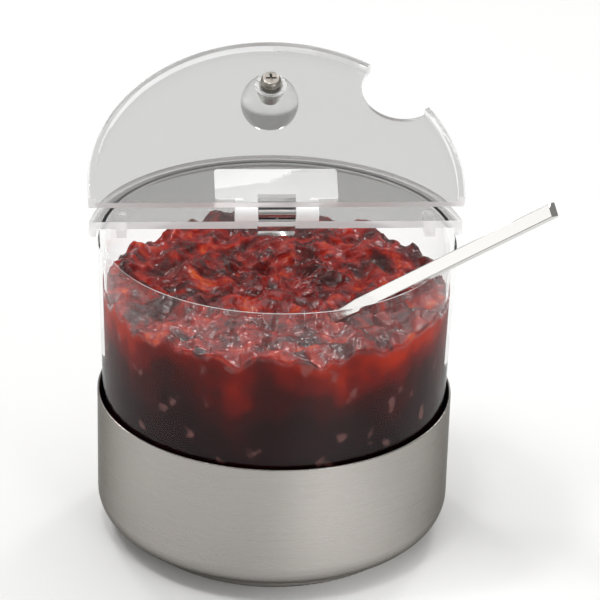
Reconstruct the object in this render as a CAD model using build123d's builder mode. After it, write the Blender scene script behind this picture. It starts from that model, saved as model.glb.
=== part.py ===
from build123d import *
from math import cos, radians, sin, tan
import os

# Preserve crock for a breakfast buffet: a clear crock stands in a steel base dish on a
# cooling pack, under a clear two-part lid with a hinged front flap, with a spoon through
# the flap's notch. Millimetres, +Z up, -Y is the front. The origin is the centre of the
# base's flat underside. The flap is made shut and then turned open, as it stands at rest.

# ---- driving dimensions ----
# steel base dish
BASE_DIAMETER = 140.0
BASE_HEIGHT = 58.8
BASE_WALL = 1.0
SHOULDER_RADIUS = 11.0
FOOT_INSET = 1.6  # foot circle inside the flat ring that the shoulder runs out to
FOOT_HEIGHT = 4.7
FOOT_EDGE_RADIUS = 0.9
FOOT_CREASE_RADIUS = 0.3
BASE_RIM_RADIUS = 0.45
# cooling pack
PACK_HEIGHT = 20.5
PACK_WALL = 1.8
PACK_CLEARANCE = 2.4  # all round, inside the foot's well
PACK_EDGE_RADIUS = 4.0
GEL_GAP = 0.05
PLUG_DIAMETER = 16.0
PLUG_DEPTH = 4.0
PLUG_RECESS = 0.6
PLUG_CHAMFER = 0.5
PLUG_SLOT_LENGTH = 9.6
PLUG_SLOT_WIDTH = 2.0
PLUG_SLOT_DEPTH = 1.5
# clear crock
CROCK_HEIGHT = 101.5
CROCK_WALL = 2.6
CROCK_FLOOR = 3.0
CROCK_DRAFT = 1.35  # degrees
CROCK_GAP = 1.1  # between the crock and the base at the base's rim
CROCK_HEEL_RADIUS = 5.0
CROCK_RIM_RADIUS = 0.6
CROCK_RECESS_RADIUS = 0.5
CROCK_RECESS = 1.2  # the hollow under the floor, inside the foot ring
CROCK_RECESS_INSET = 10.0
# preserve
FILL_BELOW_RIM = 16.0  # at the wall
FILL_DOME = 7.0  # higher in the middle
FILL_GAP = 0.1
# lid, both parts
LID_PLATE = 3.0
LID_SKIRT = 3.2  # below the plate
SKIRT_WALL = 2.8
LID_EDGE_RADIUS = 1.2
LID_TOP_RADIUS = 0.5
SKIRT_GAP = 1.2  # between the skirt and the crock's rim
LID_SPLIT_Y = 8.5  # front edge of the fixed rear part
LID_SPLIT_GAP = 0.5
LUG_WIDTH = 4.5
LUG_LENGTH = 12.5
LUG_DEPTH = 3.8
LUG_CLEARANCE = 0.9  # from the crock's inner wall
LUG_TAPER = 3  # degrees
# flap
FLAP_OPEN_ANGLE = 152.9  # degrees from shut
NOTCH_RADIUS = 16.0
NOTCH_INSET = 0.8  # its centre, inside the lid's edge
NOTCH_ANGLE = -44.0  # degrees from +X
# hinge
PIVOT_HEIGHT = 3.5  # above the lid's top
BARREL_RADIUS = 3.3
PIN_DIAMETER = 2.0
PIN_CLEARANCE = 0.06  # radial, in the clip's barrel
HINGE_WIDTH = 32.6
CLIP_WIDTH = 14.4
KNUCKLE_GAP = 0.25
LEAF_THICKNESS = 2.2
LEAF_WIDTH = 48.0
LEAF_LENGTH = 15.2
CLIP_LEAF_LENGTH = 12.0
CLIP_WEB = 2.2
CLIP_JAW_LENGTH = 6.5
CLIP_JAW_DEPTH = 3.2
PIP_DIAMETER = 2.4
PIP_HEIGHT = 0.6
BARREL_GROOVE = 0.6
LEAF_RELIEF = 2.5  # clear of the middle knuckle
LEAF_CORNER_RADIUS = 1.5
PIN_CHAMFER = 0.2
HEEL_GAP = 0.05  # left between the stop heel and the lid when the flap is open
# knob
KNOB_DIAMETER = 23.4
KNOB_FOOT = 13.0
KNOB_NECK = 1.0
KNOB_Y = -54.0
INSERT_DIAMETER = 6.0
INSERT_LENGTH = 8.5
INSERT_FLANGE = 9.6
INSERT_FLANGE_THICKNESS = 1.0
# screw, M4 with a pan head
SCREW_DIAMETER = 4.0
SCREW_HOLE_CLEARANCE = 0.3
SCREW_HEAD = 8.2
SCREW_HEAD_HEIGHT = 2.6
SCREW_REACH = 6.0  # into the insert
SCREW_HEAD_RADIUS = 1.5
RECESS_WIDTH = 4.2
RECESS_SLOT = 0.9
RECESS_DEPTH = 1.4
# spoon
HANDLE_WIDTH = 5.2
HANDLE_THICKNESS = 3.5
HANDLE_OUT = 71.5  # beyond the rim
HANDLE_IN = 25.0  # inside the rim
HANDLE_CORNER = 0.35
HANDLE_END_CHAMFER = 1.6
NECK_LENGTH = 22.0
NECK_WIDTH = 4.2
NECK_THICKNESS = 2.5
BOWL_LENGTH = 46.0
BOWL_WALL = 1.1
BOWL_DROP = 0.6  # the bowl's lip below the middle of the handle
BOWL_ROOT_WIDTH = 5.7
BOWL_ROOT_THICKNESS = 1.4
BOWL_ROOT_OVERLAP = 1.2
SPHEROID_LENGTH = 60.0  # the egg that the bowl is the lower part of
SPHEROID_WIDTH = 37.0
SPOON_RIM_ANGLE = -44.2  # degrees from +X, where the handle crosses the rim
SPOON_HEADING = -32.0  # degrees from +X
SPOON_RISE = 36.8  # degrees
SPOON_ROLL = 65.5  # degrees
SPOON_LIFT = 0.1  # handle above the rim
SPOON_VOID = 0.25  # around the spoon in the preserve

# ---- heights and radii that follow ----
base_radius = BASE_DIAMETER / 2
base_inner_radius = base_radius - BASE_WALL
foot_radius = base_radius - SHOULDER_RADIUS - FOOT_INSET
pack_bottom = BASE_WALL
pack_top = pack_bottom + PACK_HEIGHT
pack_radius = foot_radius - BASE_WALL - PACK_CLEARANCE
rim_z = pack_top + CROCK_HEIGHT
draft_slope = tan(radians(CROCK_DRAFT))


def crock_outer_radius(z):
    """Outer radius of the crock, which narrows downwards from its fit in the base's rim."""
    return base_inner_radius - CROCK_GAP + (z - BASE_HEIGHT) * draft_slope


def crock_inner_radius(z):
    return crock_outer_radius(z) - CROCK_WALL


rim_outer_radius = crock_outer_radius(rim_z)
rim_inner_radius = crock_inner_radius(rim_z)
lid_under = rim_z
lid_top = lid_under + LID_PLATE
skirt_bottom = lid_under - LID_SKIRT
skirt_inner_radius = rim_outer_radius + SKIRT_GAP
lid_radius = skirt_inner_radius + SKIRT_WALL
flap_edge_y = LID_SPLIT_Y - LID_SPLIT_GAP
pivot_y = LID_SPLIT_Y - LID_SPLIT_GAP / 2
pivot_z = lid_top + PIVOT_HEIGHT
barrel_side = Plane(origin=(0, pivot_y, pivot_z), x_dir=(0, 1, 0), z_dir=(1, 0, 0))
pin_radius = PIN_DIAMETER / 2
knob_radius = KNOB_DIAMETER / 2
knob_center_z = lid_top + KNOB_NECK + (knob_radius**2 - (KNOB_FOOT / 2) ** 2) ** 0.5
screw_radius = SCREW_DIAMETER / 2
past = 1.0  # how far a cutter runs past a face


# Two frames for the lid: heights and places in both are those of the shut lid, and the
# flap's frame is then turned open about the hinge pin.
lid_frame = Plane.XY
pivot = Location((0, pivot_y, pivot_z))
flap_frame = Plane(pivot * Location((0, 0, 0), (-FLAP_OPEN_ANGLE, 0, 0)) * pivot.inverse())
flap_up = Axis((0, 0, 0), flap_frame.z_dir)
flap_barrel_side = Plane(origin=(0, pivot_y, pivot_z), x_dir=flap_frame.y_dir, z_dir=(1, 0, 0))

# ---- base dish: one pressed cup with a shallow foot, open at the top ----
with BuildPart() as base_shell:
    with BuildSketch(Plane.XZ):
        with BuildLine():
            flat_radius = base_radius - SHOULDER_RADIUS
            shoulder_z = FOOT_HEIGHT + SHOULDER_RADIUS
            FilletPolyline(
                (0, 0),
                (foot_radius, 0),
                (foot_radius, FOOT_HEIGHT),
                (flat_radius, FOOT_HEIGHT),
                radius=[FOOT_EDGE_RADIUS, FOOT_CREASE_RADIUS],
            )
            JernArc((flat_radius, FOOT_HEIGHT), (1, 0), SHOULDER_RADIUS, 90)
            FilletPolyline(
                (base_radius, shoulder_z),
                (base_radius, BASE_HEIGHT),
                (base_inner_radius, BASE_HEIGHT),
                (base_inner_radius, shoulder_z),
                radius=BASE_RIM_RADIUS,
            )
            JernArc((flat_radius, FOOT_HEIGHT + BASE_WALL), (1, 0), SHOULDER_RADIUS - BASE_WALL, 90)
            Polyline(
                (flat_radius, FOOT_HEIGHT + BASE_WALL),
                (foot_radius - BASE_WALL, FOOT_HEIGHT + BASE_WALL),
                (foot_radius - BASE_WALL, BASE_WALL),
                (0, BASE_WALL),
                (0, 0),
            )
        make_face()
    revolve(axis=Axis.Z)
base_shell.part.label = "base_shell"

# ---- cooling pack: a blow-moulded shell, its gel and its plug ----
plug_radius = PLUG_DIAMETER / 2
gel_top = pack_top - PLUG_RECESS - PLUG_DEPTH
with BuildPart() as cool_pack_shell:
    with BuildSketch(Plane.XY.offset(pack_bottom)):
        Circle(pack_radius)
    extrude(amount=PACK_HEIGHT)
    fillet(cool_pack_shell.edges(), radius=PACK_EDGE_RADIUS)
    with BuildSketch(Plane.XY.offset(pack_bottom + PACK_WALL)):
        Circle(pack_radius - PACK_WALL)
    extrude(amount=PACK_HEIGHT - 2 * PACK_WALL, mode=Mode.SUBTRACT)
    with BuildSketch(Plane.XY.offset(gel_top)):
        Circle(plug_radius + PACK_WALL)
    extrude(until=Until.NEXT)
    with BuildSketch(Plane.XY.offset(gel_top)):
        Circle(plug_radius)
    extrude(amount=PLUG_DEPTH + PLUG_RECESS + past, mode=Mode.SUBTRACT)
cool_pack_shell.part.label = "cool_pack_shell"

with BuildPart() as cool_pack_gel:
    with BuildSketch(Plane.XY.offset(pack_bottom + PACK_WALL + GEL_GAP)):
        Circle(pack_radius - PACK_WALL - GEL_GAP)
    extrude(amount=gel_top - pack_bottom - PACK_WALL - 2 * GEL_GAP)
cool_pack_gel.part.label = "cool_pack_gel"

with BuildPart() as cool_pack_plug:
    with BuildSketch(Plane.XY.offset(gel_top)):
        Circle(plug_radius)
    extrude(amount=PLUG_DEPTH)
    chamfer(cool_pack_plug.edges().group_by(Axis.Z)[-1], length=PLUG_CHAMFER)
    with BuildSketch(Plane.XY.offset(gel_top + PLUG_DEPTH)):
        SlotOverall(PLUG_SLOT_LENGTH, PLUG_SLOT_WIDTH)
    extrude(amount=-PLUG_SLOT_DEPTH, mode=Mode.SUBTRACT)
cool_pack_plug.part.label = "cool_pack_plug"

# ---- crock: a clear tub with a little draft and a recessed floor ----
floor_z = pack_top + CROCK_FLOOR
with BuildPart() as crock:
    with BuildSketch(Plane.XZ):
        with BuildLine():
            bottom_radius = crock_outer_radius(pack_top)
            FilletPolyline(
                (0, pack_top + CROCK_RECESS),
                (bottom_radius - CROCK_RECESS_INSET, pack_top + CROCK_RECESS),
                (bottom_radius - CROCK_RECESS_INSET, pack_top),
                (bottom_radius, pack_top),
                (rim_outer_radius, rim_z),
                (rim_inner_radius, rim_z),
                (crock_inner_radius(floor_z), floor_z),
                (0, floor_z),
                radius=[
                    CROCK_RECESS_RADIUS,
                    CROCK_RECESS_RADIUS,
                    CROCK_HEEL_RADIUS,
                    CROCK_RIM_RADIUS,
                    CROCK_RIM_RADIUS,
                    CROCK_HEEL_RADIUS - CROCK_WALL,
                ],
            )
            Line((0, floor_z), (0, pack_top + CROCK_RECESS))
        make_face()
    revolve(axis=Axis.Z)
crock.part.label = "crock"

# ---- spoon: a square bar that narrows to a neck and an oval bowl ----
spoon_direction = Vector(
    cos(radians(SPOON_HEADING)) * cos(radians(SPOON_RISE)),
    sin(radians(SPOON_HEADING)) * cos(radians(SPOON_RISE)),
    sin(radians(SPOON_RISE)),
)
level_side = Vector(-sin(radians(SPOON_HEADING)), cos(radians(SPOON_HEADING)), 0)
spoon_side = level_side.rotate(Axis((0, 0, 0), spoon_direction), SPOON_ROLL)
spoon_face = spoon_direction.cross(spoon_side)
rim_contact = Vector(
    rim_inner_radius * cos(radians(SPOON_RIM_ANGLE)),
    rim_inner_radius * sin(radians(SPOON_RIM_ANGLE)),
    rim_z + SPOON_LIFT,
)
spoon_origin = rim_contact + spoon_side * (HANDLE_WIDTH / 2) + spoon_face * (HANDLE_THICKNESS / 2)
bowl_center_x = -HANDLE_IN - NECK_LENGTH - BOWL_LENGTH / 2
bowl_end_x = bowl_center_x + BOWL_LENGTH / 2
spheroid_a = SPHEROID_LENGTH / 2
spheroid_b = SPHEROID_WIDTH / 2
lip_height = spheroid_b * (1 - (BOWL_LENGTH / SPHEROID_LENGTH) ** 2) ** 0.5


def spoon_section(x, drop=0.0):
    """Plane across the spoon at x along its handle, from where it crosses the rim."""
    origin = spoon_origin + spoon_direction * x - spoon_face * drop
    return Plane(origin=origin, x_dir=spoon_side, z_dir=spoon_direction)


def spoon_shape(grow=0.0):
    """The spoon, or with grow the space it needs in the preserve."""
    spoon_lip = Plane(
        origin=spoon_origin + spoon_direction * bowl_center_x - spoon_face * BOWL_DROP,
        x_dir=spoon_direction,
        z_dir=spoon_face,
    )
    spheroid_plane = Plane(
        origin=spoon_lip.origin + spoon_face * lip_height, x_dir=spoon_direction, z_dir=spoon_side
    )
    with BuildPart() as shape:
        with BuildSketch(spheroid_plane):
            Ellipse(spheroid_a + grow, spheroid_b + grow)
            Ellipse(spheroid_a - BOWL_WALL - grow, spheroid_b - BOWL_WALL - grow, mode=Mode.SUBTRACT)
            Rectangle(3 * spheroid_a, spheroid_a, align=(Align.CENTER, Align.MIN), mode=Mode.SUBTRACT)
        revolve(axis=Axis(spheroid_plane.origin, spoon_direction))
        split(bisect_by=spoon_lip.offset(grow), keep=Keep.BOTTOM)
        with BuildSketch(spoon_section(-HANDLE_IN)):
            RectangleRounded(HANDLE_WIDTH + 2 * grow, HANDLE_THICKNESS + 2 * grow, HANDLE_CORNER)
        extrude(amount=HANDLE_IN + HANDLE_OUT)
        with BuildSketch(spoon_section(-HANDLE_IN)):
            RectangleRounded(HANDLE_WIDTH + 2 * grow, HANDLE_THICKNESS + 2 * grow, HANDLE_CORNER)
        with BuildSketch(spoon_section(-HANDLE_IN - NECK_LENGTH / 2, BOWL_DROP / 2)):
            RectangleRounded(NECK_WIDTH + 2 * grow, NECK_THICKNESS + 2 * grow, HANDLE_CORNER)
        with BuildSketch(spoon_section(bowl_end_x - BOWL_ROOT_OVERLAP, BOWL_DROP + BOWL_ROOT_THICKNESS / 2)):
            RectangleRounded(BOWL_ROOT_WIDTH + 2 * grow, BOWL_ROOT_THICKNESS + 2 * grow, HANDLE_CORNER)
        loft()
    return shape.part


whole_spoon = spoon_shape()
spoon_room = spoon_shape(SPOON_VOID)
with BuildPart() as spoon:
    add(whole_spoon)
    end_plane = spoon_section(HANDLE_OUT)
    for side in (-1, 1):
        with BuildSketch(Plane(origin=end_plane.origin, x_dir=spoon_direction, z_dir=spoon_side)):
            Polygon(
                (past, side * (HANDLE_THICKNESS / 2 + past)),
                (past, side * (HANDLE_THICKNESS / 2 - HANDLE_END_CHAMFER - past)),
                (-HANDLE_END_CHAMFER - past, side * (HANDLE_THICKNESS / 2 + past)),
                align=None,
            )
        extrude(amount=HANDLE_WIDTH, both=True, mode=Mode.SUBTRACT)
spoon.part.label = "spoon"

# ---- preserve: fills the crock, higher in the middle, with room for the spoon ----
fill_bottom = floor_z + FILL_GAP
fill_side = rim_z - FILL_BELOW_RIM
with BuildPart() as preserve_fill:
    with BuildSketch(Plane.XZ):
        with BuildLine():
            side_top = (crock_inner_radius(fill_side) - FILL_GAP, fill_side)
            FilletPolyline(
                (0, fill_bottom),
                (crock_inner_radius(fill_bottom) - FILL_GAP, fill_bottom),
                side_top,
                radius=CROCK_HEEL_RADIUS - CROCK_WALL,
            )
            dome_radius = (side_top[0] ** 2 + FILL_DOME**2) / (2 * FILL_DOME)
            dome_top = (0, fill_side + FILL_DOME)
            RadiusArc(side_top, dome_top, -dome_radius)
            Line(dome_top, (0, fill_bottom))
        make_face()
    revolve(axis=Axis.Z)
    add(spoon_room, mode=Mode.SUBTRACT)
preserve_fill.part.label = "preserve_fill"


# ---- lid: fixed rear part and hinged front flap ----
def lid_half(frame, edge_y, cut_side):
    """Plate and skirt of the lid on one side of the line y = edge_y."""
    up = Axis((0, 0, 0), frame.z_dir)
    with BuildPart() as half:
        with BuildSketch(frame.offset(skirt_bottom)):
            Circle(lid_radius)
            with Locations((0, edge_y)):
                Rectangle(3 * lid_radius, 3 * lid_radius, align=(Align.CENTER, cut_side), mode=Mode.SUBTRACT)
        extrude(amount=LID_SKIRT + LID_PLATE)
        fillet(half.edges().filter_by(GeomType.CIRCLE).group_by(up)[0], radius=LID_EDGE_RADIUS)
        fillet(half.edges().filter_by(GeomType.CIRCLE).group_by(up)[-1], radius=LID_TOP_RADIUS)
        with BuildSketch(frame.offset(skirt_bottom)):
            Circle(skirt_inner_radius)
        extrude(amount=LID_SKIRT, mode=Mode.SUBTRACT)
    return half.part


rear_half = lid_half(lid_frame, LID_SPLIT_Y, Align.MAX)
lug_back = LID_SPLIT_Y + LUG_LENGTH
lug_x = (crock_inner_radius(lid_under) ** 2 - lug_back**2) ** 0.5 - LUG_CLEARANCE - LUG_WIDTH / 2
with BuildPart() as rear_lid:
    add(rear_half)
    with BuildSketch(lid_frame.offset(lid_under)):
        for x in (-lug_x, lug_x):
            with Locations((x, LID_SPLIT_Y)):
                Rectangle(LUG_WIDTH, LUG_LENGTH - LUG_WIDTH / 2, align=(Align.CENTER, Align.MIN))
            with Locations((x, lug_back - LUG_WIDTH / 2)):
                Circle(LUG_WIDTH / 2)
    extrude(amount=-LUG_DEPTH, taper=LUG_TAPER)
    with BuildSketch(lid_frame.offset(lid_under)):
        with Locations((0, LID_SPLIT_Y)):
            Rectangle(CLIP_WIDTH + 2 * KNUCKLE_GAP, 2 * (CLIP_WEB + 2 * KNUCKLE_GAP))
    extrude(amount=LID_PLATE, mode=Mode.SUBTRACT)
rear_lid.part.label = "rear_lid"

front_half = lid_half(flap_frame, flap_edge_y, Align.MIN)
with BuildPart() as front_flap:
    add(front_half)
    with BuildSketch(flap_frame.offset(skirt_bottom)):
        with PolarLocations(lid_radius - NOTCH_INSET, 1, start_angle=NOTCH_ANGLE):
            Circle(NOTCH_RADIUS)
    extrude(amount=LID_SKIRT + LID_PLATE, mode=Mode.SUBTRACT)
    with BuildSketch(flap_frame.offset(lid_under)):
        with Locations((0, KNOB_Y)):
            Circle(screw_radius + SCREW_HOLE_CLEARANCE)
    extrude(amount=LID_PLATE, mode=Mode.SUBTRACT)
front_flap.part.label = "front_flap"

# ---- hinge clip: grips the rear part's front edge and carries the middle knuckle ----
clip_front = LID_SPLIT_Y + KNUCKLE_GAP
jaw_bottom = lid_under - CLIP_JAW_DEPTH
with BuildPart() as hinge_clip:
    with BuildSketch(barrel_side):
        Circle(BARREL_RADIUS)
    extrude(amount=CLIP_WIDTH / 2, both=True)
    with BuildSketch(barrel_side):
        with Locations((clip_front - pivot_y, jaw_bottom - pivot_z)):
            Rectangle(CLIP_WEB, lid_top - jaw_bottom + past, align=Align.MIN)
            Rectangle(CLIP_JAW_LENGTH, CLIP_JAW_DEPTH, align=Align.MIN)
        with Locations((clip_front - pivot_y, lid_top - pivot_z)):
            Rectangle(CLIP_LEAF_LENGTH, LEAF_THICKNESS, align=Align.MIN)
    extrude(amount=CLIP_WIDTH / 2, both=True)
    with BuildSketch(Plane.XZ.offset(-clip_front)):
        with Locations((0, jaw_bottom + PIP_DIAMETER / 2)):
            Circle(PIP_DIAMETER / 2)
    extrude(amount=PIP_HEIGHT)
    with BuildSketch(barrel_side):
        Circle(pin_radius + PIN_CLEARANCE)
    extrude(amount=CLIP_WIDTH, both=True, mode=Mode.SUBTRACT)
    with BuildSketch(barrel_side):
        Circle(BARREL_RADIUS)
        Circle(BARREL_RADIUS - BARREL_GROOVE, mode=Mode.SUBTRACT)
        with Locations((BARREL_RADIUS, -BARREL_RADIUS)):
            Rectangle(3 * BARREL_RADIUS, 2 * BARREL_RADIUS, mode=Mode.SUBTRACT)
    extrude(amount=BARREL_GROOVE / 2, both=True, mode=Mode.SUBTRACT)
hinge_clip.part.label = "hinge_clip"

# ---- hinge leaf: bonded on the flap, with the two outer knuckles and their stop heels ----
knuckle_inner_x = CLIP_WIDTH / 2 + KNUCKLE_GAP
knuckle_outer_x = HINGE_WIDTH / 2
knuckle_length = knuckle_outer_x - knuckle_inner_x
leaf_back_y = pivot_y - BARREL_RADIUS
leaf_front_y = leaf_back_y - LEAF_LENGTH
relief_y = leaf_back_y - LEAF_RELIEF
heel_drop = PIVOT_HEIGHT - HEEL_GAP
with BuildPart() as hinge_leaf:
    with BuildSketch(flap_frame.offset(lid_top)) as leaf_outline:
        with Locations((0, leaf_front_y)):
            Rectangle(LEAF_WIDTH, LEAF_LENGTH, align=(Align.CENTER, Align.MIN))
        fillet(leaf_outline.vertices(), radius=LEAF_CORNER_RADIUS)
        with Locations((0, relief_y)):
            Rectangle(HINGE_WIDTH, pivot_y - relief_y - PIN_DIAMETER, align=(Align.CENTER, Align.MIN))
            Rectangle(
                2 * knuckle_inner_x,
                pivot_y - relief_y,
                align=(Align.CENTER, Align.MIN),
                mode=Mode.SUBTRACT,
            )
    extrude(amount=LEAF_THICKNESS)
    for start_x in (-knuckle_outer_x, knuckle_inner_x):
        with BuildSketch(flap_barrel_side.offset(start_x)):
            Circle(BARREL_RADIUS)
        extrude(amount=knuckle_length)
        with BuildSketch(barrel_side.offset(start_x)):
            Polygon(
                (0, 0),
                (0.1 * BARREL_RADIUS, -heel_drop),
                (0.9 * BARREL_RADIUS, -heel_drop),
                (BARREL_RADIUS, -0.75 * heel_drop),
                (0.6 * BARREL_RADIUS, 0),
                align=None,
            )
        extrude(amount=knuckle_length)
    with BuildSketch(barrel_side):
        Circle(pin_radius)
    extrude(amount=HINGE_WIDTH, both=True, mode=Mode.SUBTRACT)
hinge_leaf.part.label = "hinge_leaf"

with BuildPart() as hinge_pin:
    with BuildSketch(barrel_side):
        Circle(pin_radius)
    extrude(amount=HINGE_WIDTH / 2, both=True)
    chamfer(hinge_pin.edges().filter_by(GeomType.CIRCLE), length=PIN_CHAMFER)
hinge_pin.part.label = "hinge_pin"

# ---- knob: a clear ball with a flat foot on a threaded insert ----
knob_side = Plane(origin=flap_frame.from_local_coords((0, KNOB_Y, 0)), x_dir=(1, 0, 0), z_dir=-flap_frame.y_dir)
knob_line = Axis(knob_side.origin, flap_frame.z_dir)
with BuildPart() as knob:
    with BuildSketch(knob_side):
        with Locations((0, knob_center_z)):
            Circle(knob_radius)
        with Locations((0, lid_top)):
            Rectangle(KNOB_FOOT, knob_radius, align=(Align.CENTER, Align.MIN))
            Rectangle(
                INSERT_FLANGE,
                INSERT_FLANGE_THICKNESS,
                align=(Align.CENTER, Align.MIN),
                mode=Mode.SUBTRACT,
            )
            Rectangle(INSERT_DIAMETER, INSERT_LENGTH, align=(Align.CENTER, Align.MIN), mode=Mode.SUBTRACT)
            Rectangle(KNOB_DIAMETER, knob_radius, align=(Align.CENTER, Align.MAX), mode=Mode.SUBTRACT)
        with Locations((0, knob_center_z)):
            Rectangle(KNOB_DIAMETER, 4 * knob_radius, align=(Align.MAX, Align.CENTER), mode=Mode.SUBTRACT)
    revolve(axis=knob_line)
knob.part.label = "knob"

with BuildPart() as knob_insert:
    with BuildSketch(flap_frame.offset(lid_top)):
        with Locations((0, KNOB_Y)):
            Circle(INSERT_DIAMETER / 2)
    extrude(amount=INSERT_LENGTH)
    with BuildSketch(flap_frame.offset(lid_top)):
        with Locations((0, KNOB_Y)):
            Circle(INSERT_FLANGE / 2)
    extrude(amount=INSERT_FLANGE_THICKNESS)
    with BuildSketch(flap_frame.offset(lid_top)):
        with Locations((0, KNOB_Y)):
            Circle(screw_radius)
    extrude(amount=SCREW_REACH, mode=Mode.SUBTRACT)
knob_insert.part.label = "knob_insert"

# ---- knob screw: pan head under the flap, with a cross recess ----
head_plane = flap_frame.offset(lid_under - SCREW_HEAD_HEIGHT)
with BuildPart() as knob_screw:
    with BuildSketch(head_plane):
        with Locations((0, KNOB_Y)):
            Circle(SCREW_HEAD / 2)
    extrude(amount=SCREW_HEAD_HEIGHT)
    fillet(knob_screw.edges().group_by(flap_up)[0], radius=SCREW_HEAD_RADIUS)
    with BuildSketch(flap_frame.offset(lid_under)):
        with Locations((0, KNOB_Y)):
            Circle(screw_radius)
    extrude(amount=LID_PLATE + SCREW_REACH)
    with BuildSketch(head_plane):
        with Locations((0, KNOB_Y)):
            Rectangle(RECESS_WIDTH, RECESS_SLOT)
            Rectangle(RECESS_SLOT, RECESS_WIDTH)
    extrude(amount=RECESS_DEPTH, mode=Mode.SUBTRACT)
knob_screw.part.label = "knob_screw"

os.makedirs("parts", exist_ok=True)
export_step(base_shell.part, "parts/base_shell.step")
export_step(cool_pack_shell.part, "parts/cool_pack_shell.step")
export_step(cool_pack_gel.part, "parts/cool_pack_gel.step")
export_step(cool_pack_plug.part, "parts/cool_pack_plug.step")
export_step(crock.part, "parts/crock.step")
export_step(spoon.part, "parts/spoon.step")
export_step(preserve_fill.part, "parts/preserve_fill.step")
export_step(rear_lid.part, "parts/rear_lid.step")
export_step(front_flap.part, "parts/front_flap.step")
export_step(hinge_clip.part, "parts/hinge_clip.step")
export_step(hinge_leaf.part, "parts/hinge_leaf.step")
export_step(hinge_pin.part, "parts/hinge_pin.step")
export_step(knob.part, "parts/knob.step")
export_step(knob_insert.part, "parts/knob_insert.step")
export_step(knob_screw.part, "parts/knob_screw.step")
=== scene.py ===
import math

import bpy
from mathutils import Matrix, Vector


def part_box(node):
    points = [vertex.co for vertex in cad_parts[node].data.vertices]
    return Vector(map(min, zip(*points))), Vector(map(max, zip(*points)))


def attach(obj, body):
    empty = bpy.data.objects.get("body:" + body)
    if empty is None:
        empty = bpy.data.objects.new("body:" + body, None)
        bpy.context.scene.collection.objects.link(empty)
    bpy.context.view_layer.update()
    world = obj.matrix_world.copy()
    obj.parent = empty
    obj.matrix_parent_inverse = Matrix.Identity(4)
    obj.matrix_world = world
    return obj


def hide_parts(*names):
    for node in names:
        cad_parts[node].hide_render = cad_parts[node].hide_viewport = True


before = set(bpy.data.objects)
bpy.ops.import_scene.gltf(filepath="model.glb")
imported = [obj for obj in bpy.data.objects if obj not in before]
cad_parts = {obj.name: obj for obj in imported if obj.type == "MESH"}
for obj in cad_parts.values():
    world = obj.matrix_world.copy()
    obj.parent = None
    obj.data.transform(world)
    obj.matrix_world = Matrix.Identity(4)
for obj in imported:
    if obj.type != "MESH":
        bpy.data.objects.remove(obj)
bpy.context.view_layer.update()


# ---- Counter and studio ----
# The pot stands on a plain white counter top, in the light of a photographer's soft boxes.
# The counter is one large sheet of matt white laminate, which also closes the view behind.
def linear(code):
    """Linear colour of an sRGB hex code."""
    parts = [int(code[i:i + 2], 16) / 255 for i in (1, 3, 5)]
    return tuple(c / 12.92 if c <= 0.04045 else ((c + 0.055) / 1.055) ** 2.4 for c in parts) + (1.0,)


def new_material(name):
    """An empty material, and its tree of nodes."""
    material = bpy.data.materials.new(name)
    material.use_nodes = True
    material.node_tree.nodes.clear()
    return material, material.node_tree


def node(tree, kind, inputs=(), **settings):
    """Adds a node with its settings; each input is a value, or the socket that feeds it."""
    made = tree.nodes.new(kind)
    for name, value in settings.items():
        setattr(made, name, value)
    for name, value in dict(inputs).items():
        if isinstance(value, bpy.types.NodeSocket):
            tree.links.new(value, made.inputs[name])
        else:
            made.inputs[name].default_value = value
    return made


def finish_with(tree, shader):
    """Sends a shader to the material's output."""
    node(tree, "ShaderNodeOutputMaterial", {"Surface": shader})


def paint(piece, material):
    """Gives a whole piece one material."""
    piece.data.materials.clear()
    piece.data.materials.append(material)


laminate, tree = new_material("white laminate, matt")
finish_with(tree, node(tree, "ShaderNodeBsdfPrincipled", {
    "Base Color": linear("#f7f7f6"), "Roughness": 0.6, "IOR": 1.45, "Specular IOR Level": 0.2,
}).outputs[0])
bpy.ops.mesh.primitive_plane_add(size=12, location=(0, 2, 0))
counter = bpy.context.active_object
counter.name = "counter"
paint(counter, laminate)

world = bpy.data.worlds.new("studio walls")
bpy.context.scene.world = world
world.use_nodes = True
world.node_tree.nodes["Background"].inputs["Color"].default_value = linear("#f4f4f3")
world.node_tree.nodes["Background"].inputs["Strength"].default_value = 0.35


def soft_box(name, place, target, width, height, watts):
    """A rectangular soft box that faces a point."""
    bpy.ops.object.light_add(type="AREA", location=place)
    light = bpy.context.active_object
    light.name = name
    light.rotation_euler = (Vector(target) - Vector(place)).to_track_quat("-Z", "Y").to_euler()
    light.data.shape = "RECTANGLE"
    light.data.size = width
    light.data.size_y = height
    light.data.energy = watts


middle = (0, 0, 0.08)
soft_box("overhead", (0.0, 0.5, 1.7), (0, 0.4, 0), 2.4, 2.4, 20)
soft_box("front right", (0.60, -1.15, 0.40), middle, 0.30, 0.50, 3.0)
soft_box("left", (-1.26, -0.12, 0.34), middle, 0.5, 0.55, 1.1)
for name, place in (
    ("back left", (-0.45, 0.90, 0.90)),
    ("back right", (0.50, 0.80, 0.95)),
    ("high left", (-0.55, -0.05, 1.15)),
    ("high front", (-0.20, -0.35, 1.30)),
):
    soft_box(name, place, middle, 0.15, 0.15, 1.8)
bpy.ops.object.light_add(type="SPOT", location=(0.30, -0.75, 0.55))
pool = bpy.context.active_object
pool.name = "pool on the counter"
pool.rotation_euler = (Vector((0.075, -0.145, 0.0)) - pool.location).to_track_quat("-Z", "Y").to_euler()
pool.data.spot_size = math.radians(12)
pool.data.spot_blend = 1.0
pool.data.shadow_soft_size = 0.02
pool.data.energy = 18

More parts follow.
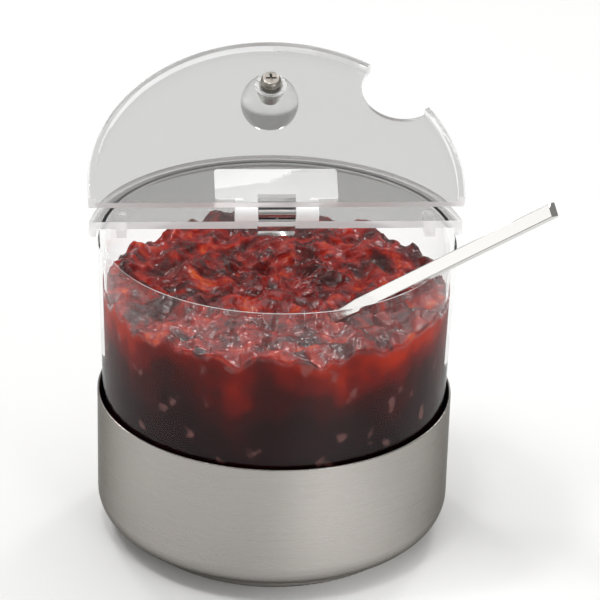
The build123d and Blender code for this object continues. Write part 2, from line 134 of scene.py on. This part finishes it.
# The camera looks down on the front, from a metre away, through a long lens.
camera_data = bpy.data.cameras.new("camera")
camera = bpy.data.objects.new("camera", camera_data)
bpy.context.scene.collection.objects.link(camera)
camera_heading = math.radians(4.40)
camera_dip = math.radians(25.64)
camera_tilt = math.radians(1.54)
camera.matrix_world = (
    Matrix.Translation((-0.0682, -1.0077, 0.5812))
    @ Matrix.Rotation(-camera_heading, 4, "Z")
    @ Matrix.Rotation(math.pi / 2 - camera_dip, 4, "X")
    @ Matrix.Rotation(camera_tilt, 4, "Z")
)
camera_data.lens = 171.9
camera_data.sensor_width = 36
bpy.context.scene.camera = camera
bpy.context.scene.view_settings.view_transform = "Standard"
bpy.context.scene.cycles.max_bounces = 20
bpy.context.scene.cycles.transmission_bounces = 20
bpy.context.scene.cycles.transparent_max_bounces = 20


# ---- Base dish ----
# A deep-drawn cup of stainless sheet with a shallow foot. The outside is brushed on a lathe
# and left satin, so fine lines run around it and stretch the reflections upwards.
def smooth_copy(name):
    """A copy of a designed piece with its triangles joined, so that round faces shine smoothly."""
    bpy.ops.object.select_all(action="DESELECT")
    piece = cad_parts[name].copy()
    piece.data = piece.data.copy()
    piece.parent = None
    piece.name = "finished_" + name
    bpy.context.scene.collection.objects.link(piece)
    bpy.context.view_layer.objects.active = piece
    piece.select_set(True)
    bpy.ops.object.mode_set(mode="EDIT")
    bpy.ops.mesh.select_all(action="SELECT")
    bpy.ops.mesh.remove_doubles(threshold=0.000002)
    bpy.ops.mesh.dissolve_limited(angle_limit=math.radians(0.2))
    bpy.ops.object.mode_set(mode="OBJECT")
    bpy.ops.object.shade_smooth_by_angle(angle=math.radians(35))
    bpy.ops.object.modifier_add(type="WEIGHTED_NORMAL")
    piece.modifiers[-1].weight = 100
    piece.modifiers[-1].keep_sharp = True
    bpy.ops.object.modifier_apply(modifier=piece.modifiers[-1].name)
    return piece


steel, tree = new_material("stainless steel, brushed satin")
place = node(tree, "ShaderNodeTexCoord").outputs["Object"]
axes = node(tree, "ShaderNodeSeparateXYZ", {"Vector": place})
around = node(tree, "ShaderNodeMath", {0: axes.outputs["Y"], 1: axes.outputs["X"]}, operation="ARCTAN2")
lines_at = node(tree, "ShaderNodeCombineXYZ", {"X": around.outputs[0], "Y": axes.outputs["Z"]})
lines = node(tree, "ShaderNodeMapping", {"Vector": lines_at.outputs[0], "Scale": (1.6, 2500.0, 1.0)})
grain = node(tree, "ShaderNodeTexNoise", {
    "Vector": lines.outputs[0], "Scale": 1.0, "Detail": 3.0, "Roughness": 0.6,
})
grain_roughness = node(tree, "ShaderNodeMapRange", {
    "Value": grain.outputs[0], "From Min": 0.3, "From Max": 0.7, "To Min": 0.24, "To Max": 0.36,
})
grain_bump = node(tree, "ShaderNodeBump", {"Height": grain.outputs[0], "Strength": 0.8, "Distance": 0.0001})
finish_with(tree, node(tree, "ShaderNodeBsdfPrincipled", {
    "Base Color": linear("#aaa6a2"), "Metallic": 1.0, "Roughness": grain_roughness.outputs[0],
    "Normal": grain_bump.outputs[0], "Specular Tint": linear("#9a9a97"),
}).outputs[0])
dish = smooth_copy("base_shell")
paint(dish, steel)
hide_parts("base_shell")
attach(dish, "base")

# ---- Cooling pack ----
# A blow-moulded polyethylene disc filled with blue gel, with a screwed plug. It lies in the
# base dish under the crock.
pack_plastic, tree = new_material("polyethylene, blow-moulded")
finish_with(tree, node(tree, "ShaderNodeBsdfPrincipled", {
    "Base Color": linear("#dfe6ee"), "Roughness": 0.45, "IOR": 1.51,
}).outputs[0])
gel, tree = new_material("cooling gel")
finish_with(tree, node(tree, "ShaderNodeBsdfPrincipled", {
    "Base Color": linear("#6fa5dc"), "Roughness": 0.15, "IOR": 1.38,
}).outputs[0])
for name, material, finish in (
    ("cool_pack_shell", pack_plastic, "pack_plastic"),
    ("cool_pack_gel", gel, "cooling_gel"),
    ("cool_pack_plug", pack_plastic, "plug_plastic"),
):
    piece = smooth_copy(name)
    paint(piece, material)
    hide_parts(name)
    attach(piece, "cooling_pack")


# ---- Crock ----
# A tub injection-moulded in clear SAN plastic, in a polished mould. Its index is set near
# air's, far under SAN's 1.57, so that it hardly bends what is behind it, and a coat shines.
def lit_through(tree, plastic, tint):
    """Finishes a clear material so that lamps shine through it, dimmed by its tint."""
    let_through = node(tree, "ShaderNodeBsdfTransparent", {"Color": linear(tint)})
    lamps = node(tree, "ShaderNodeLightPath").outputs["Is Shadow Ray"]
    both = node(tree, "ShaderNodeMixShader", {0: lamps, 1: plastic.outputs[0], 2: let_through.outputs[0]})
    finish_with(tree, both.outputs[0])


def clear_plastic(name, tint, roughness, index, gloss=0.0):
    """Clear plastic, with a gloss coat where its own index is too low to shine."""
    material, tree = new_material(name)
    plastic = node(tree, "ShaderNodeBsdfPrincipled", {
        "Base Color": linear(tint), "Roughness": roughness, "IOR": index, "Transmission Weight": 1.0,
        "Coat Weight": gloss, "Coat IOR": 1.5, "Coat Roughness": 0.0,
    })
    lit_through(tree, plastic, "#f6f6f6")
    return material


def edge_plastic_painted_glow(name, tint):
    """Clear plastic at a cut or matt edge, which scatters light, with a faint painted glow in place of the
    light that the sheet carries to it.
    """
    material, tree = new_material(name)
    plastic = node(tree, "ShaderNodeBsdfPrincipled", {
        "Base Color": linear(tint), "Roughness": 0.2, "IOR": 1.45, "Transmission Weight": 0.3,
        # A faint painted glow: the edge gives off a little light of its own.
        "Emission Color": linear("#ffffff"), "Emission Strength": 0.08,
    })
    lit_through(tree, plastic, "#f0f0f0")
    return material


def whiten(piece, material, is_edge):
    """Gives the faces that are edges the edge's material."""
    piece.data.materials.append(material)
    for face in piece.data.polygons:
        if is_edge(face):
            face.material_index = len(piece.data.materials) - 1


rim_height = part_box("crock")[1][2]
rim_round = 0.0007  # the fillets reach this far down from the rim
tub = smooth_copy("crock")
paint(tub, clear_plastic("SAN plastic, clear, polished", "#fafafa", 0.0, 1.01, gloss=0.4))
# The rim's inner fillet gets the white, faintly glowing edge material: a painted highlight line.
whiten(tub, edge_plastic_painted_glow("SAN plastic, rim edge, painted highlight", "#ffffff"), lambda face: (
    face.center.z > rim_height - rim_round and 0.1 < face.normal.z < 0.97
    and face.normal.x * face.center.x + face.normal.y * face.center.y < 0
))
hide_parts("crock")
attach(tub, "crock")

# ---- Preserve ----
# Red berry preserve: soft fruit in a set syrup. It lies in lumps with a wet, glassy skin,
# and light sinks a few millimetres into it, so that thin edges glow. Down the wall its colour is painted
# darker with depth: painted shade.
fill_low, fill_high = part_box("preserve_fill")
wall_radius = fill_high[0] + 0.0004  # wets the tub's wall, with no air between
fill_bottom = fill_low[2]
bottom_round = 0.003
bottom_taper = 0.96
bottom_radius = wall_radius - 0.0019  # the tub's draft
surface_height = 0.1135
ring_step = 0.00085
sectors = 384
rings = int(wall_radius / ring_step) - 1

bpy.ops.object.select_all(action="DESELECT")
bpy.ops.mesh.primitive_circle_add(vertices=sectors, radius=wall_radius, fill_type="NGON",
                                  location=(0, 0, surface_height))
preserve = bpy.context.active_object
preserve.name = "preserve"
bpy.ops.object.transform_apply(location=True, rotation=True, scale=True)
bpy.ops.object.mode_set(mode="EDIT")
bpy.ops.mesh.select_all(action="SELECT")
for _ in range(rings):
    bpy.ops.mesh.inset(thickness=ring_step, use_boundary=True)
bpy.ops.mesh.poke()
bpy.ops.mesh.select_all(action="DESELECT")
bpy.ops.mesh.select_non_manifold(extend=False)
wall_rows = 60
row = (surface_height - fill_bottom - bottom_round) / wall_rows
shrink = (bottom_radius / wall_radius) ** (1 / wall_rows)
for _ in range(wall_rows):
    bpy.ops.mesh.extrude_region_move(TRANSFORM_OT_translate={"value": (0, 0, -row)})
    bpy.ops.transform.resize(value=(shrink, shrink, 1), center_override=(0, 0, 0))
bpy.ops.mesh.extrude_region_move(TRANSFORM_OT_translate={"value": (0, 0, -bottom_round)})
bpy.ops.transform.resize(value=(bottom_taper, bottom_taper, 1), center_override=(0, 0, 0))
bpy.ops.mesh.fill()
bpy.ops.mesh.select_all(action="SELECT")
bpy.ops.mesh.normals_make_consistent(inside=False)
bpy.ops.object.mode_set(mode="OBJECT")

near = 0.0001
wall_points = [v.index for v in preserve.data.vertices if v.co.z < surface_height - near]
edge_points = [v.index for v in preserve.data.vertices
               if v.co.z > surface_height - near and math.hypot(v.co.x, v.co.y) > wall_radius - near]
lowered = 0.011  # the whole fill is let down, floor and all, so its floor lies under the tub's
bpy.ops.object.mode_set(mode="EDIT")
bpy.ops.mesh.select_all(action="SELECT")
bpy.ops.transform.translate(value=(0, 0, -lowered))
bpy.ops.object.mode_set(mode="OBJECT")

lump_weight = preserve.vertex_groups.new(name="lumps")
on_wall = set(wall_points)
on_top = [v.index for v in preserve.data.vertices if v.index not in on_wall]
lump_weight.add(on_top, 1.0, "REPLACE")


def sector_of(point):
    """Which of the equal sectors around the tub a point lies in."""
    return round((math.atan2(point.y, point.x) / math.tau + 0.5) * sectors) % sectors


edge_before = {sector_of(preserve.data.vertices[i].co): preserve.data.vertices[i].co.z for i in edge_points}


def lumps(kind, size, height, **settings):
    """Raises and lowers the preserve's surface in lumps of one size."""
    texture = bpy.data.textures.new(f"{kind} {size}", kind)
    texture.noise_scale = size
    for name, value in settings.items():
        setattr(texture, name, value)
    bpy.ops.object.modifier_add(type="DISPLACE")
    rough = preserve.modifiers[-1]
    rough.texture = texture
    rough.texture_coords = "GLOBAL"
    rough.direction = "Z"
    rough.vertex_group = "lumps"
    rough.mid_level = 0.5
    rough.strength = height
    bpy.ops.object.modifier_apply(modifier=rough.name)


bpy.ops.object.select_all(action="DESELECT")
preserve.select_set(True)
bpy.context.view_layer.objects.active = preserve
lumps("CLOUDS", 0.016, 0.0075, noise_depth=2)
lumps("VORONOI", 0.009, 0.0050, distance_metric="DISTANCE", noise_intensity=1.1)
lumps("CLOUDS", 0.0045, 0.0026, noise_depth=3)
lumps("CLOUDS", 0.0018, 0.0008, noise_depth=2)
bpy.ops.object.shade_smooth()

edge_after = {sector_of(preserve.data.vertices[i].co): preserve.data.vertices[i].co.z for i in edge_points}
follow_depth = 0.025
depth = preserve.data.attributes.new("depth", "FLOAT", "POINT")
for i in wall_points:
    v = preserve.data.vertices[i]
    sector = sector_of(v.co)
    follow = max(0.0, 1.0 - (edge_before[sector] - v.co.z) / follow_depth)
    v.co.z += (edge_after[sector] - edge_before[sector]) * follow
    depth.data[i].value = max(0.0, edge_after[sector] - v.co.z)

jam, tree = new_material("berry preserve, set and glossy, painted shade down the wall")
place = node(tree, "ShaderNodeTexCoord").outputs["Object"]
fruit = node(tree, "ShaderNodeTexNoise", {"Vector": place, "Scale": 90.0, "Detail": 4.0, "Roughness": 0.62,
                                          "Distortion": 0.8})
top_colour = node(tree, "ShaderNodeValToRGB", {"Fac": fruit.outputs[0]})
stops = top_colour.color_ramp.elements
stops[0].position, stops[0].color = 0.34, linear("#340606")
stops[1].position, stops[1].color = 0.74, linear("#c04a0c")
for position, colour in ((0.43, "#4c0806"), (0.51, "#700c06"), (0.61, "#961808")):
    stops.new(position).color = linear(colour)
sunk = node(tree, "ShaderNodeAttribute", attribute_name="depth").outputs["Fac"]
wander = node(tree, "ShaderNodeTexNoise", {"Vector": place, "Scale": 38.0, "Detail": 4.0})
wander_by = node(tree, "ShaderNodeMath", {0: wander.outputs[0], 1: -0.5}, operation="ADD")
wander_depth = node(tree, "ShaderNodeMath", {0: wander_by.outputs[0], 1: 0.050, 2: sunk},
                    operation="MULTIPLY_ADD")
painted_shade_depth = node(tree, "ShaderNodeMapRange", {"Value": wander_depth.outputs[0], "From Min": 0.0,
                                             "From Max": 0.050})
# Down the wall the colour goes from red to near black with depth below the surface, with a little noise in
# the depth: painted shade.
wall_colour_painted_shade = node(tree, "ShaderNodeValToRGB", {"Fac": painted_shade_depth.outputs[0]})
stops = wall_colour_painted_shade.color_ramp.elements
stops[0].position, stops[0].color = 0.0, linear("#a32408")
stops[1].position, stops[1].color = 1.0, linear("#160609")
for position, colour in ((0.16, "#6c0f07"), (0.36, "#380807"), (0.60, "#210709")):
    stops.new(position).color = linear(colour)
at_wall = node(tree, "ShaderNodeMapRange", {"Value": sunk, "From Min": 0.0005, "From Max": 0.003})
body_colour = node(tree, "ShaderNodeMixRGB", {"Fac": at_wall.outputs[0], "Color1": top_colour.outputs[0],
                                              "Color2": wall_colour_painted_shade.outputs[0]})
bent = node(tree, "ShaderNodeTexNoise", {"Vector": place, "Scale": 110.0, "Detail": 2.0})
bend_by = node(tree, "ShaderNodeVectorMath", {0: bent.outputs["Color"], 1: (0.012, 0.012, 0.012)},
               operation="MULTIPLY")
bent_place = node(tree, "ShaderNodeVectorMath", {0: place, 1: bend_by.outputs[0]}, operation="ADD")
seeds = node(tree, "ShaderNodeTexVoronoi", {"Vector": bent_place.outputs[0], "Scale": 85.0})
seed_spots = node(tree, "ShaderNodeMapRange", {"Value": seeds.outputs["Distance"], "From Min": 0.26,
                                               "From Max": 0.12, "To Max": 0.55})
seed_at_wall = node(tree, "ShaderNodeMath", {0: seed_spots.outputs[0], 1: at_wall.outputs[0]},
                    operation="MULTIPLY")
with_seeds = node(tree, "ShaderNodeMixRGB", {"Fac": seed_at_wall.outputs[0],
                                             "Color1": body_colour.outputs[0],
                                             "Color2": linear("#7c5450")})
wet = node(tree, "ShaderNodeMath", {0: 1.0, 1: at_wall.outputs[0]}, operation="SUBTRACT")
skin = node(tree, "ShaderNodeTexNoise", {"Vector": place, "Scale": 420.0, "Detail": 3.0, "Roughness": 0.5})
skin_strength = node(tree, "ShaderNodeMath", {0: wet.outputs[0], 1: 0.65}, operation="MULTIPLY")
skin_bump = node(tree, "ShaderNodeBump", {"Height": skin.outputs[0], "Strength": skin_strength.outputs[0],
                                          "Distance": 0.0009})
finish_with(tree, node(tree, "ShaderNodeBsdfPrincipled", {
    "Base Color": with_seeds.outputs[0], "Roughness": 0.5, "IOR": 1.35, "Specular IOR Level": 0.0,
    "Normal": skin_bump.outputs[0], "Coat Weight": wet.outputs[0], "Coat Roughness": 0.02,
    "Coat IOR": 1.55, "Coat Normal": skin_bump.outputs[0],
    "Subsurface Weight": 0.3, "Subsurface Radius": (1.0, 0.12, 0.06), "Subsurface Scale": 0.005,
}).outputs[0])
paint(preserve, jam)
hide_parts("preserve_fill")
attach(preserve, "crock")

# ---- Spoon ----
# A stainless spoon with a square bar for a handle, cut to a ridge at its end, polished
# bright all over. It stands in the preserve and leans on the crock's rim.
polished, tree = new_material("stainless steel, polished")
finish_with(tree, node(tree, "ShaderNodeBsdfPrincipled", {
    "Base Color": linear("#cfcdca"), "Metallic": 1.0, "Roughness": 0.1,
}).outputs[0])
spoon = smooth_copy("spoon")
paint(spoon, polished)
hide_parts("spoon")
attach(spoon, "spoon")

# ---- Lid ----
# Two parts cut and milled from clear acrylic sheet: the fixed rear part with its locating
# lugs, and the front flap with its skirt and the spoon notch. The faces are as cast.
acrylic = clear_plastic("acrylic, clear, cast", "#cacac9", 0.0, 1.49)
# The milled edges are matt white, as milled acrylic is, with a faint painted glow.
acrylic_edge_painted_glow = edge_plastic_painted_glow("acrylic, milled edge, painted glow", "#ffffff")
for name, body in (("rear_lid", "lid"), ("front_flap", "flap")):
    piece = smooth_copy(name)
    paint(piece, acrylic)
    plate_way = max(piece.data.polygons, key=lambda face: face.area).normal.copy()
    whiten(piece, acrylic_edge_painted_glow, lambda face: abs(face.normal.dot(plate_way)) < 0.9)
    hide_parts(name)
    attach(piece, body)

# ---- Hinge ----
# Moulded from clear polycarbonate in two halves, bonded to the flap and clipped over the
# rear part's edge. They turn on a drawn steel pin.
# The bonded leaf is milky polycarbonate, with a faint painted glow.
leaf_plastic_painted_glow = edge_plastic_painted_glow("polycarbonate, bonded, milky, painted glow", "#ffffff")
clip_plastic = clear_plastic("polycarbonate, clear, moulded", "#fbfbfb", 0.04, 1.45)
for name, body, material in (
    ("hinge_clip", "lid", clip_plastic),
    ("hinge_leaf", "flap", leaf_plastic_painted_glow),
):
    piece = smooth_copy(name)
    paint(piece, material)
    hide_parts(name)
    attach(piece, body)
pin = smooth_copy("hinge_pin")
paint(pin, polished)
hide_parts("hinge_pin")
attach(pin, "flap")

# ---- Knob ----
# A ball turned and polished from clear acrylic, on a nickel-plated brass insert. A
# zinc-plated pan-head screw comes through the flap into the insert.
knob_acrylic = clear_plastic("acrylic, clear, polished", "#fbfcfb", 0.0, 1.49)
plated, tree = new_material("brass, nickel-plated")
finish_with(tree, node(tree, "ShaderNodeBsdfPrincipled", {
    "Base Color": linear("#c9c4ba"), "Metallic": 1.0, "Roughness": 0.22,
}).outputs[0])
zinc, tree = new_material("steel, zinc-plated")
finish_with(tree, node(tree, "ShaderNodeBsdfPrincipled", {
    "Base Color": linear("#a39d96"), "Metallic": 1.0, "Roughness": 0.3,
}).outputs[0])
for name, material, finish in (
    ("knob", knob_acrylic, "clear_knob"),
    ("knob_insert", plated, "plated_brass"),
    ("knob_screw", zinc, "plated_screw"),
):
    piece = smooth_copy(name)
    paint(piece, material)
    if name == "knob":
        # The knob's flat faces take the milled-edge acrylic, with its faint painted glow.
        whiten(piece, acrylic_edge_painted_glow, lambda face: abs(face.normal.dot(plate_way)) > 0.9)
    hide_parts(name)
    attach(piece, "flap")
